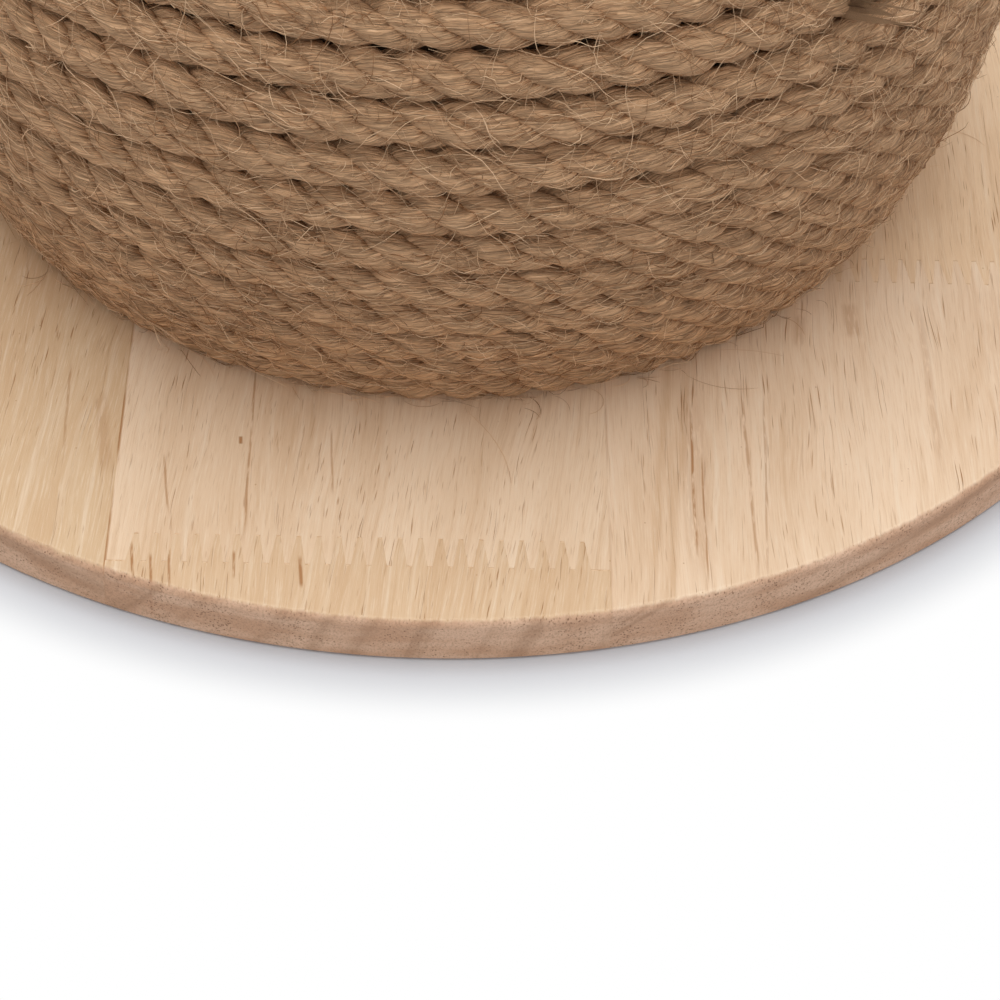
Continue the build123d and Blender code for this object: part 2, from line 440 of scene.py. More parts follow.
@dataclass(frozen=True)
class JuteFinish:
    """Twisted jute: streaks of brown, straw and grey along its fibres, with painted shade down in its grooves and
    in the creases between its fibre bundles, and a painted highlight on the crowns of its strands.
    """

    name: str
    length_mm: float
    girth_mm: float
    shift: float = 0.0
    dark: Colour = rgb(0.17, 0.074, 0.027)
    middle: Colour = rgb(0.51, 0.252, 0.113)
    pale: Colour = rgb(0.92, 0.60, 0.35)
    straw: Colour = rgb(0.71, 0.425, 0.235)

    def build(self) -> bpy.types.Material:
        """Returns the jute's material, for a strand unrolled on its UV map."""
        shader = Shader(self.name)
        spread = shader.node("ShaderNodeUVMap", {"uv_map": STRAND_UV})
        parts = shader.node("ShaderNodeSeparateXYZ", inputs={0: Value(shader, spread.outputs[0])})
        along = Value(shader, parts.outputs[0]) * self.length_mm + self.shift
        around = Value(shader, parts.outputs[1]) * self.girth_mm
        bend = shader.noise(shader.vector(along * 0.16, around * 0.3, self.shift)) - 0.5
        around = around + bend * 1.6
        fibre = shader.noise(shader.vector(along * 0.22, around * 3.4, self.shift), 3.0, 0.65)
        hair = shader.noise(shader.vector(along * 0.55, around * 8.0, self.shift + 9.0), 2.0, 0.6)
        patch = shader.noise(shader.vector(along * 0.075, around * 0.25, self.shift + 5.0), 2.0)
        height = shader.attribute(GROOVE_HEIGHT)

        bundle = shader.noise(shader.vector(along * 0.13, around * 1.15, self.shift + 3.0), 2.0)
        crease = shader.step(abs(bundle - 0.5), 0.040, 0.0)

        colour = shader.mix(shader.step(fibre, 0.38, 0.58), self.dark, self.middle)
        colour = shader.mix(shader.step(fibre, 0.52, 0.70) * 0.85, colour, self.pale)
        colour = shader.mix(shader.step(hair, 0.52, 0.68) * 0.50, colour, self.pale)
        colour = shader.mix(shader.step(hair, 0.47, 0.32) * 0.50, colour, self.dark)
        colour = shader.mix(shader.step(patch, 0.48, 0.74) * 0.35, colour, self.straw)
        # Painted shade in the creases between fibre bundles.
        colour = shader.mix(crease * 0.55, colour, self.dark)
        # Painted highlight on the crowns of the strands, and painted shade down in the rope's grooves.
        colour = shader.mix(shader.step(height, 0.84, 1.0) * 0.34, colour, self.pale)
        colour = shader.mix(shader.step(height, 0.74, 0.10) * 0.80, colour, self.dark)
        relief = fibre * 0.5 + hair * 0.3 - crease * 0.3
        return shader.finish(colour, 0.78 - fibre * 0.12, relief, 0.0007, {"Specular IOR Level": 0.22})


@dataclass(frozen=True)
class FibreFinish:
    """Loose jute fibres, each of its own shade between brown and straw."""

    name: str = "loose_jute"
    brown: Colour = rgb(0.30, 0.140, 0.056)
    straw: Colour = rgb(0.90, 0.625, 0.385)

    def build(self) -> bpy.types.Material:
        """Returns the fibres' material."""
        shader = Shader(self.name)
        x, y, z = shader.place()
        shade = shader.attribute(FIBRE_SHADE)
        along = shader.noise(shader.vector(x * 0.8, y * 0.8, z * 0.8), 2.0)
        colour = shader.mix(shader.step(shade + along * 0.3 - 0.15, 0.0, 1.0), self.brown, self.straw)
        return shader.finish(colour, 0.70 - along * 0.1, along, 0.00002, {"Specular IOR Level": 0.25})


STRAND_UV = "UVMap"
GROOVE_HEIGHT = "groove_height"
FIBRE_SHADE = "fibre_shade"


@dataclass
class Board:
    """The round board: six blocks of rubberwood glued edge to edge, with two finger joints."""

    finishes: dict[str, RubberwoodFinish] = field(
        default_factory=lambda: {
            "base_stave_left": RubberwoodFinish(
                "rubberwood_left", rgb(0.74, 0.525, 0.32), shift=3.1, pith_x=-90.0, pith_depth=-150.0,
                ring_width=9.0, pore_share=0.46, slant=-0.06, glue_lines=((-60.5, 0.95),),
                marks=(
                    GrainMark(-65.5, -98.0, -62.0, -124.0, 2.6, 0.30),
                    GrainMark(-72.0, -90.0, -71.0, -118.0, 0.5, 0.5),
                ),
            ),
            "base_stave_middle_rear": RubberwoodFinish(
                "rubberwood_middle_rear", rgb(0.88, 0.66, 0.455), shift=11.7, pith_x=30.0, pith_depth=-120.0,
                ring_width=8.0, pore_length=12.0, pore_share=0.47, slant=-0.08,
                glue_lines=((-60.5, 0.7), (33.5, 0.25)),
                marks=(
                    GrainMark(-35.6, -86.0, -35.0, -142.0, 0.45, 0.65),
                    GrainMark(-37.4, -111.5, -37.2, -114.0, 0.7, 0.9),
                    GrainMark(-52.0, -116.0, -49.5, -134.0, 0.45, 0.6),
                    GrainMark(-20.0, -108.0, -19.0, -128.0, 0.4, 0.5),
                ),
            ),
            "base_stave_middle_front": RubberwoodFinish(
                "rubberwood_middle_front", rgb(0.775, 0.55, 0.345), shift=23.9, pith_x=-70.0, pith_depth=38.0,
                ring_width=8.0, pore_length=13.0, pore_share=0.50, slant=-0.10, glue_lines=((33.5, 0.3),),
                marks=(
                    GrainMark(-56.0, -140.0, -55.0, -151.0, 0.5, 0.9),
                    GrainMark(-52.5, -143.0, -51.5, -154.0, 0.5, 0.85),
                    GrainMark(-49.0, -141.0, -48.0, -153.0, 0.5, 0.8),
                    GrainMark(-37.0, -142.0, -36.5, -150.0, 0.5, 0.8),
                    GrainMark(-24.5, -143.0, -24.0, -152.0, 0.6, 0.9),
                ),
            ),
            "base_stave_right_front": RubberwoodFinish(
                "rubberwood_right_front", rgb(0.90, 0.675, 0.47), Grain.FIGURED, shift=37.3, pith_x=128.0,
                pith_depth=-150.0, lean=0.05, ring_width=5.5, pore_length=22.0, pore_share=0.48, slant=-0.02,
                glue_lines=((33.5, 0.3),),
                marks=(
                    GrainMark(60.5, -92.0, 61.0, -150.0, 0.6, 0.55),
                    GrainMark(65.0, -92.0, 62.5, -150.0, 0.45, 0.45),
                    GrainMark(50.2, -98.0, 49.8, -144.0, 0.5, 0.85),
                    GrainMark(52.0, -112.0, 51.5, -150.0, 0.35, 0.7),
                    GrainMark(50.5, -90.0, 50.5, -152.0, 4.5, 0.22),
                    GrainMark(84.0, -68.0, 84.0, -80.0, 3.0, 0.35),
                    GrainMark(73.5, -72.0, 73.0, -83.0, 2.2, 0.30),
                    GrainMark(98.0, -64.0, 98.0, -120.0, 1.6, 0.25),
                    GrainMark(117.0, -55.0, 117.0, -125.0, 16.0, 0.12),
                ),
            ),
            "base_stave_right_rear": RubberwoodFinish(
                "rubberwood_right_rear", rgb(0.89, 0.64, 0.405), shift=51.1, pith_x=60.0, pith_depth=-90.0,
                ring_width=9.0, pore_length=18.0, pore_share=0.44, glue_lines=((127.5, 0.25),),
            ),
            "base_stave_far_right": RubberwoodFinish(
                "rubberwood_far_right", rgb(0.72, 0.475, 0.265), Grain.FIGURED, shift=67.9, pith_x=140.0,
                pith_depth=-40.0, ring_width=6.0, pore_length=22.0, pore_share=0.52,
                glue_lines=((127.5, 0.25),),
                marks=(
                    GrainMark(131.5, -20.0, 131.0, -88.0, 0.6, 0.5),
                    GrainMark(137.0, -10.0, 136.5, -80.0, 1.8, 0.28),
                ),
            ),
        }
    )
    glue: "FingerGlue" = field(default_factory=lambda: FingerGlue())

    def build(self) -> None:
        """Gives each block its own cut of wood, and fills the tips of the finger joints with glue."""
        for node, finish in self.finishes.items():
            dress_node(node, finish.build())
        self.glue.build()


@dataclass
class FingerGlue:
    """The glue that fills the small gap at each tip and shoulder of the board's two finger joints.

    Each joint runs from one glue line to the next, with its middle at some distance in front of the board's
    centre, and its fingers point at it and away from it in turn.
    """

    joints: tuple[tuple[float, float, float], ...] = (
        (-60.5 * MM, 33.5 * MM, -142.0 * MM),
        (33.5 * MM, 127.5 * MM, -58.5 * MM),
    )
    finger_pitch: float = 3.8 * MM
    finger_length: float = 7.5 * MM
    finger_tip: float = 0.8 * MM
    tip_gap: float = 0.3 * MM
    play: float = 0.01 * MM
    lowest: float = 0.3 * MM
    highest: float = 9.93 * MM

    def build(self) -> None:
        """Builds and dresses the glue of both joints as one piece."""
        made = bmesh.new()
        for left, right, middle in self.joints:
            count = math.floor((right - left - self.finger_pitch) / self.finger_pitch)
            first = (left + right) / 2 - (count - 1) * self.finger_pitch / 2
            near = middle - self.finger_length / 2 + self.tip_gap / 2
            far = middle + self.finger_length / 2 - self.tip_gap / 2
            half = self.finger_tip / 2
            for index in range(count):
                centre = first + index * self.finger_pitch
                self._fill(made, centre - half, centre + half, far)
                if index:
                    valley = centre - self.finger_pitch / 2
                    self._fill(made, valley - half, valley + half, near)
            self._fill(made, left, first - self.finger_pitch / 2 + half, near)
            self._fill(made, first + (count - 0.5) * self.finger_pitch - half, right, near)
        mesh = bpy.data.meshes.new("finger_joint_glue")
        made.to_mesh(mesh)
        made.free()
        piece = bpy.data.objects.new("finger_joint_glue", mesh)
        bpy.context.scene.collection.objects.link(piece)
        dress_piece(piece, GlueFinish().build(), "rubberwood")

    def _fill(self, made: bmesh.types.BMesh, left: float, right: float, y: float) -> None:
        """Adds one fill between two places across the board."""
        size = Vector((right - left - self.play, self.tip_gap - self.play, self.highest - self.lowest))
        centre = Vector(((left + right) / 2, y, (self.lowest + self.highest) / 2))
        placed = Matrix.Translation(centre) @ Matrix.Diagonal(size).to_4x4()
        bmesh.ops.create_cube(made, size=1.0, matrix=placed)


@dataclass
class Core:
    """The hidden core: two plastic half shells and the screws that hold them to the board."""

    plastic: PlasticFinish = PlasticFinish()
    zinc: ZincFinish = ZincFinish()

    def dress(self) -> None:
        """Gives the shells and the screws their materials."""
        shell = self.plastic.build()
        for node in ("core_lower_shell", "core_upper_shell"):
            dress_node(node, shell)
        dress_node("base_screws", self.zinc.build())


@dataclass(frozen=True)
class RopeRoute:
    """The line that the middle of the rope follows, from the board at the back to the top of the ball.

    The turns lie level on the front, each stepping up to the next at the back, and end in a spiral at the
    top.
    """

    board_thickness: float = 10.0 * MM
    ball_diameter: float = 236.0 * MM
    ball_seat_diameter: float = 200.0 * MM
    rope_diameter: float = 8.9 * MM
    least_turn_gap: float = 0.45 * MM
    glue_film: float = 0.2 * MM
    start_bearing: float = math.radians(135.0)
    pole_turn_radius: float = 9.6 * MM
    start_room: float = 0.3 * MM
    tail_room: float = 4.5 * MM
    knots_of_turn: tuple[float, ...] = (0.0, 0.5, 0.75, 1.0)

    @property
    def ball_radius(self) -> float:
        """Returns the radius over the rope."""
        return self.ball_diameter / 2

    @property
    def centre_height(self) -> float:
        """Returns the height of the ball's centre."""
        return self.board_thickness + math.sqrt(self.ball_radius**2 - (self.ball_seat_diameter / 2) ** 2)

    @property
    def sphere_radius(self) -> float:
        """Returns the radius of the sphere that the rope's middle lies on."""
        return self.ball_radius - self.rope_diameter / 2

    @property
    def lowest_latitude(self) -> float:
        """Returns the latitude of the turn that lies on the board."""
        height = self.board_thickness + self.glue_film + self.rope_diameter / 2
        return math.asin((height - self.centre_height) / self.sphere_radius)

    @property
    def climb_span(self) -> float:
        """Returns the latitude that the even turns climb through."""
        last = math.pi / 2 - math.asin(self.pole_turn_radius / self.sphere_radius)
        return last - self.lowest_latitude - (self.start_room + self.tail_room) / self.sphere_radius

    @property
    def turn_count(self) -> int:
        """Returns how many turns the winding has."""
        return math.floor(self.climb_span * self.sphere_radius / (self.rope_diameter + self.least_turn_gap))

    def _knot(self, whole: np.ndarray, part: float) -> tuple[np.ndarray, np.ndarray]:
        """Returns the latitude and its rise a turn, at a part of some whole turns."""
        climb = self.climb_span / self.turn_count
        turns = whole + part
        # A knot that ends a turn is the first knot of the next one.
        whole = np.floor(turns + 1e-9)
        spread = turns / self.turn_count
        tail = np.maximum(0.0, turns - (self.turn_count - 1))
        latitude = self.lowest_latitude + climb * (whole + spread * (turns - whole))
        latitude += self.start_room / self.sphere_radius * np.minimum(turns, 1.0) ** 2
        latitude += self.tail_room / self.sphere_radius * tail**2
        return latitude, climb * spread + self.tail_room / self.sphere_radius * 2 * tail

    def latitude(self, turns: np.ndarray) -> np.ndarray:
        """Returns the latitude after so many turns, eased from each knot to the next."""
        whole = np.clip(np.floor(turns), 0, self.turn_count - 1)
        result = np.zeros_like(turns)
        for start, end in zip(self.knots_of_turn, self.knots_of_turn[1:]):
            inside = (turns - whole >= start) & ((turns - whole < end) | (end == 1.0))
            share = (turns - whole - start) / (end - start)
            first, first_rise = self._knot(whole, start)
            last, last_rise = self._knot(whole, end)
            span = end - start
            eased = (
                first * (2 * share**3 - 3 * share**2 + 1)
                + first_rise * span * (share**3 - 2 * share**2 + share)
                + last * (3 * share**2 - 2 * share**3)
                + last_rise * span * (share**3 - share**2)
            )
            result = np.where(inside, eased, result)
        return result

    def on_ball(self, bearing: np.ndarray, latitude: np.ndarray, radius: np.ndarray | float) -> np.ndarray:
        """Returns places round the ball's centre, one row each."""
        flat = np.cos(latitude) * radius
        height = np.sin(latitude) * radius + self.centre_height
        return np.stack([np.cos(bearing) * flat, np.sin(bearing) * flat, height + 0 * flat], axis=-1)


@dataclass
class RopeLine:
    """The rope's middle, sampled at even steps, with its directions: along, outward and up the ball."""

    route: RopeRoute
    step: float
    places: np.ndarray = field(init=False)
    along: np.ndarray = field(init=False)
    outward: np.ndarray = field(init=False)
    upward: np.ndarray = field(init=False)
    run: np.ndarray = field(init=False)

    def __post_init__(self) -> None:
        """Samples the route finely, then at even steps along it."""
        fine = np.linspace(0.0, self.route.turn_count, self.route.turn_count * 720 + 1)
        fine_places = self._at(fine)
        run = np.concatenate([[0.0], np.cumsum(np.linalg.norm(np.diff(fine_places, axis=0), axis=1))])
        count = round(run[-1] / self.step)
        self.run = np.linspace(0.0, run[-1], count + 1)
        self.places = self._at(np.interp(self.run, run, fine))
        self.along = unit(np.gradient(self.places, axis=0))
        centre = np.array([0.0, 0.0, self.route.centre_height])
        self.outward = unit(self.places - centre)
        self.upward = np.cross(self.outward, self.along)

    def _at(self, turns: np.ndarray) -> np.ndarray:
        """Returns the rope's middle after so many turns."""
        bearing = self.route.start_bearing + 2 * math.pi * turns
        return self.route.on_ball(bearing, self.route.latitude(turns), self.route.sphere_radius)

    @property
    def length(self) -> float:
        """Returns the rope's whole length."""
        return float(self.run[-1])


def unit(vectors: np.ndarray) -> np.ndarray:
    """Returns rows of vectors, each a length of 1."""
    return vectors / np.linalg.norm(vectors, axis=-1, keepdims=True)


def drift(
    rng: np.random.Generator, run: np.ndarray, shortest: float, longest: float, waves: int = 7
) -> np.ndarray:
    """Returns a slow seeded wander along a run, mostly within -1 and 1.

    Args:
        rng: The seeded source of numbers.
        run: The distances along the piece.
        shortest: The shortest wave.
        longest: The longest wave.
        waves: How many waves are laid on each other.

    Returns:
        One number for each distance.
    """
    lengths = np.geomspace(shortest, longest, waves)
    total = np.zeros_like(run)
    for wave in lengths:
        total += np.sin(2 * math.pi * run / (wave * rng.uniform(0.85, 1.15)) + rng.uniform(0, 2 * math.pi))
    return total / math.sqrt(waves)


def profile_ring(name: str, radius: float, sides: int) -> bpy.types.Object:
    """Makes the closed ring that a cord's section follows.

    Args:
        name: The curve's name.
        radius: The ring's radius.
        sides: How many corners it has.

    Returns:
        The curve object, which isn't linked to the scene.
    """
    curve = bpy.data.curves.new(name, "CURVE")
    curve.dimensions = "2D"
    ring = curve.splines.new("POLY")
    ring.points.add(sides - 1)
    angles = np.arange(sides) * 2 * math.pi / sides
    corners = np.stack([np.cos(angles) * radius, np.sin(angles) * radius, 0 * angles, 1 + 0 * angles], axis=1)
    ring.points.foreach_set("co", corners.ravel())
    ring.use_cyclic_u = True
    return bpy.data.objects.new(name, curve)


def tubes(
    name: str,
    lines: Sequence[np.ndarray],
    radii: Sequence[np.ndarray],
    tilts: Sequence[np.ndarray] | None,
    ring: bpy.types.Object,
) -> bpy.types.Object:
    """Makes one mesh of tubes along lines.

    Args:
        name: The piece's name.
        lines: The places that each tube follows, one array each.
        radii: The share of the ring's radius at each place.
        tilts: How far the ring is turned at each place, if it is.
        ring: The section that every tube has.

    Returns:
        The mesh object, linked to the scene.
    """
    curve = bpy.data.curves.new(name, "CURVE")
    curve.dimensions = "3D"
    curve.twist_mode = "Z_UP"
    curve.bevel_mode = "OBJECT"
    curve.bevel_object = ring
    curve.use_fill_caps = True
    for index, line in enumerate(lines):
        spline = curve.splines.new("POLY")
        spline.points.add(len(line) - 1)
        spline.points.foreach_set("co", np.column_stack([line, np.ones(len(line))]).ravel())
        spline.points.foreach_set("radius", radii[index])
        if tilts is not None:
            spline.points.foreach_set("tilt", tilts[index])
    source = bpy.data.objects.new(name + "_line", curve)
    bpy.context.scene.collection.objects.link(source)
    graph = bpy.context.evaluated_depsgraph_get()
    mesh = bpy.data.meshes.new_from_object(source.evaluated_get(graph), depsgraph=graph)
    bpy.data.objects.remove(source)
    mesh.name = name
    mesh.materials.clear()
    piece = bpy.data.objects.new(name, mesh)
    bpy.context.scene.collection.objects.link(piece)
    return piece


def keep_number(mesh: bpy.types.Mesh, name: str, numbers: np.ndarray) -> None:
    """Keeps one number a vertex in a mesh, under a name that a material reads."""
    mesh.attributes.new(name, "FLOAT", "POINT").data.foreach_set("value", numbers.astype(np.float32))


def dress_piece(piece: bpy.types.Object, material: bpy.types.Material, slot: str, *nodes: str) -> None:
    """Gives a new piece its material and body, smooths the sides of a jute piece, and hides the nodes that it
    stands for.
    """
    piece.data.materials.append(material)
    if slot == "jute":
        # The sides of a tube are smooth, and the caps at its ends stay flat.
        for face in piece.data.polygons:
            face.use_smooth = face.loop_total == 4
    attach(piece, BODY)
    if nodes:
        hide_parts(*nodes)
    log.info("%s: %d faces", piece.name, len(piece.data.polygons))


def dress_node(node: str, material: bpy.types.Material) -> None:
    """Gives a node of the model its material."""
    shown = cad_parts[node]
    if not shown.material_slots:
        shown.data.materials.append(material)
    for holder in shown.material_slots:
        holder.material = material
    log.info("%s: %s", node, material.name)


@dataclass
class RopeWinding:
    """The jute rope: three strands laid round each other, and the fibres that stand off them."""

    route: RopeRoute = RopeRoute()
    seed: int = 20
    strand_count: int = 3
    lay_length: float = 27.0 * MM
    yarn_twist_length: float = 29.0 * MM
    strand_radius: float = 2.62 * MM
    strand_offset: float = 2.1 * MM
    rings_a_lay: int = 14
    sides: int = 18
    halves: tuple[str, ...] = ("lower", "upper")
    groove_bottom: float = 2.3 * MM
    groove_rise: float = 2.2 * MM
    # The lobes round a strand, the length along it and the size of each wave of its skin.
    skin_waves: tuple[tuple[int, float, float], ...] = (
        (5, 31 * MM, 0.035),
        (6, 19 * MM, 0.03),
        (3, 13 * MM, 0.025),
        (8, 8 * MM, 0.02),
    )

    def build(self) -> None:
        """Builds and dresses the strands."""
        line = RopeLine(self.route, self.lay_length / self.rings_a_lay)
        rng = np.random.default_rng(self.seed)
        wander = drift(rng, line.run, 40 * MM, 400 * MM) * 0.12 * MM
        middle = line.places + line.upward * wander[:, None]
        turn = -2 * math.pi * line.run / self.lay_length + drift(rng, line.run, 60 * MM, 500 * MM) * 0.25
        ring = profile_ring("strand_section", self.strand_radius, self.sides)
        for strand in range(self.strand_count):
            self._strand(line, middle, turn + strand * 2 * math.pi / self.strand_count, strand, rng, ring)
        LooseFibres(self, line, middle, turn).build()

    def _strand(self, line: RopeLine, middle: np.ndarray, turn: np.ndarray, strand: int,
                rng: np.random.Generator, ring: bpy.types.Object) -> None:
        """Builds one strand, as two pieces that meet end to end.

        Args:
            line: The rope's middle and directions.
            middle: The rope's middle with its small wander.
            turn: The strand's angle round the rope at each place.
            strand: The strand's number.
            rng: The seeded source of numbers.
            ring: The strand's section.
        """
        reach = self.strand_offset * (1 + 0.05 * drift(rng, line.run, 9 * MM, 60 * MM))
        path = middle + line.outward * (reach * np.cos(turn))[:, None]
        path = path + line.upward * (reach * np.sin(turn))[:, None]
        radius = 1 + 0.045 * drift(rng, line.run, 6 * MM, 45 * MM)
        tilt = -2 * math.pi * line.run / self.yarn_twist_length
        edges = np.linspace(0, len(path) - 1, len(self.halves) + 1).round().astype(int)
        name = f"jute_strand_{strand + 1}"
        length, girth = line.length / len(self.halves), 2 * math.pi * self.strand_radius
        material = JuteFinish(name, length / MM, girth / MM, strand * 17.3).build()
        starts = rng.uniform(0, 2 * math.pi, (len(self.skin_waves), 2))
        for half, first, last in zip(self.halves, edges, edges[1:]):
            part = slice(first, last + 1)
            piece = tubes(f"{name}_{half}", [path[part]], [radius[part]], [tilt[part]], ring)
            self._roughen(piece, path[part], middle[part], line.run[part], starts)
            dress_piece(piece, material, "jute", "rope_winding")

    def _roughen(self, piece: bpy.types.Object, path: np.ndarray, middle: np.ndarray, run: np.ndarray,
                 starts: np.ndarray) -> None:
        """Makes a strand's skin uneven, and keeps how high each point stands out of the rope's grooves, for the
        painted shade and painted highlight of the jute's material.

        Args:
            piece: The strand's piece.
            path: The strand's middle at each ring.
            middle: The rope's middle at each ring.
            run: The distance along the rope at each ring.
            starts: Where each of the skin's waves starts.
        """
        mesh = piece.data
        places = np.zeros(len(mesh.vertices) * 3, np.float32)
        mesh.vertices.foreach_get("co", places)
        skin = places.reshape(-1, 3)[: len(path) * self.sides].reshape(len(path), self.sides, 3).astype(float)
        angle = np.arange(self.sides) * 2 * math.pi / self.sides
        swell = np.zeros((len(path), self.sides))
        for (lobes, wave, size), (start, other) in zip(self.skin_waves, starts):
            swell += size * np.sin(lobes * angle[None, :] + 2 * math.pi * run[:, None] / wave + start)
            backward = lobes * angle[None, :] - 2 * math.pi * run[:, None] / (wave * 1.7) + other
            swell += size * 0.6 * np.sin(backward)
        skin = path[:, None, :] + (skin - path[:, None, :]) * (1 + swell[..., None])
        stand = np.linalg.norm(skin - middle[:, None, :], axis=-1)
        height = np.clip((stand - self.groove_bottom) / self.groove_rise, 0.0, 1.0)
        flat = places.reshape(-1, 3)
        flat[: len(path) * self.sides] = skin.reshape(-1, 3)
        mesh.vertices.foreach_set("co", flat.ravel())
        numbers = np.ones(len(mesh.vertices))
        numbers[: len(path) * self.sides] = height.ravel()
        keep_number(mesh, GROOVE_HEIGHT, numbers)
        mesh.update()


@dataclass
class LooseFibres:
    """Fibres that lie on the rope, hairs that bridge its turns and stand off, and a few on the wood."""

    rope: RopeWinding
    line: RopeLine
    middle: np.ndarray
    turn: np.ndarray
    seed: int = 31
    lying_count: int = 7300
    hair_count: int = 4900
    tuft_count: int = 900
    wood_count: int = 420
    fibre_radius: float = 0.078 * MM
    tuft_radius: float = 7.6 * MM
    hole_offset: float = 2.9 * MM
    hole_bearing: float = math.radians(315)

    def build(self) -> None:
        """Builds and dresses every group of fibres."""
        rng = np.random.default_rng(self.seed)
        ring = profile_ring("fibre_section", self.fibre_radius, 3)
        material = FibreFinish().build()
        groups = (
            ("jute_fibres_lying_1", self._lying(rng), 0.12, 1.0),
            ("jute_fibres_lying_2", self._lying(rng), 0.45, 1.0),
            ("jute_fibres_lying_3", self._lying(rng), 0.80, 1.0),
            ("jute_hairs_standing_1", self._hairs(rng), 0.32, 0.85),
            ("jute_hairs_standing_2", self._hairs(rng), 0.72, 0.75),
            ("jute_hairs_standing_3", self._hairs(rng), 0.50, 0.70),
            ("jute_tuft_top", self._tuft(rng), 0.40, 1.3),
            ("jute_fibres_on_wood", self._on_wood(rng), 0.62, 0.62),
        )
        for name, lines, shade, girth in groups:
            self._piece(name, lines, shade, girth, ring, material, rng)

    def _piece(self, name: str, lines: np.ndarray, shade: float, girth: float, ring: bpy.types.Object,
               material: bpy.types.Material, rng: np.random.Generator) -> None:
        """Builds one group of fibres.

        Args:
            name: The piece's name.
            lines: The fibres' places, as fibre by point by axis.
            shade: The middle of their shades.
            girth: How thick they are, as a share of a common fibre.
            ring: Their section.
            material: Their material.
            rng: The seeded source of numbers.
        """
        count, points, _ = lines.shape
        taper = 1 - 0.55 * np.linspace(-1, 1, points)[None, :] ** 4
        thick = rng.uniform(0.55, 1.35, count)[:, None] * taper * girth
        piece = tubes(name, list(lines), list(thick), None, ring)
        shades = np.clip(rng.normal(shade, 0.26, count), 0.0, 1.0)
        keep_number(piece.data, FIBRE_SHADE, np.repeat(shades, len(piece.data.vertices) // count))
        dress_piece(piece, material, "jute")

    def _skin(self, run: np.ndarray, around: np.ndarray, lift: np.ndarray) -> np.ndarray:
        """Returns places on the rope's skin.

        Args:
            run: The distance along the rope.
            around: The angle round the rope from its outermost line, towards the top.
            lift: The height over the skin.

        Returns:
            The places.
        """
        index = np.clip(run / self.line.step, 0, len(self.middle) - 1.001)
        low = index.astype(int)
        share = (index - low)[..., None]

        def between(rows: np.ndarray) -> np.ndarray:
            """Returns rows read between samples."""
            return rows[low] * (1 - share) + rows[low + 1] * share

        phase = self.turn[low] * (1 - share[..., 0]) + self.turn[low + 1] * share[..., 0]
        third = 2 * math.pi / self.rope.strand_count
        off = (around - phase + third / 2) % third - third / 2
        offset = self.rope.strand_offset
        chord = np.sqrt(self.rope.strand_radius**2 - (offset * np.sin(off)) ** 2)
        reach = offset * np.cos(off) + chord + lift
        outward, upward = between(self.line.outward), between(self.line.upward)
        return between(self.middle) + outward * (reach * np.cos(around))[..., None] + upward * (
            reach * np.sin(around)
        )[..., None]

    def _lying(self, rng: np.random.Generator) -> np.ndarray:
        """Returns short fibres that lie along the strands, their middles lifted a little."""
        count, points = self.lying_count, 5
        share = np.linspace(0, 1, points)[None, :]
        length = rng.uniform(3, 11, (count, 1)) * MM
        heading = rng.normal(0.0, 0.50, (count, 1)) + rng.normal(0.0, 0.9, (count, 1)) * (share - 0.5)
        run = rng.uniform(0, self.line.length, (count, 1)) + length * share * np.cos(heading)
        radius = self.rope.route.rope_diameter / 2
        around = rng.normal(0.0, 0.80, (count, 1)) + length * (share - 0.5) * np.sin(heading) / radius
        lift = rng.uniform(-0.05, 0.12, (count, 1))
        lift = lift + rng.exponential(0.28, (count, 1)) * np.sin(math.pi * share)
        return self._skin(np.clip(run, 0, self.line.length), around, lift * MM)

    def _hairs(self, rng: np.random.Generator) -> np.ndarray:
        """Returns longer hairs that cross the turns and curl off the ball."""
        count, points = self.hair_count, 7
        route = self.rope.route
        share = np.linspace(0, 1, points)[None, :]
        length = rng.gamma(2.2, 3.0, (count, 1)) * MM + 3 * MM
        lowest = math.sin(route.lowest_latitude)
        latitude = np.arcsin(rng.uniform(lowest, 0.995, (count, 1)))
        bearing = rng.uniform(0, 2 * math.pi, (count, 1))
        heading = rng.normal(0, 0.9, (count, 1)) + rng.normal(0, 0.9, (count, 1)) * (share - 0.5)
        curl = 2 * math.pi * share * rng.uniform(0.5, 1.6, (count, 1)) + rng.uniform(0, 6, (count, 1))
        heading += 0.25 * np.sin(curl)
        step = length / (points - 1)
        east = np.cumsum(np.cos(heading) * step, axis=1)
        north = np.cumsum(np.sin(heading) * step, axis=1)
        radius = route.ball_radius
        loose = rng.random((count, 1)) < 0.35
        rise = np.where(loose, rng.exponential(0.9, (count, 1)) * share**1.5,
                        rng.exponential(0.35, (count, 1)) * np.sin(math.pi * share))
        lift = (rng.uniform(-0.5, 0.0, (count, 1)) + np.minimum(rise, 3.2)) * MM
        tilt = np.maximum(latitude + north / radius, route.lowest_latitude - 0.02)
        swing = bearing + east / (radius * np.maximum(np.cos(latitude), 0.12))
        places = route.on_ball(swing, tilt, radius + lift)
        floor = route.board_thickness + 0.15 * MM
        places[..., 2] = np.maximum(places[..., 2], floor)
        return places

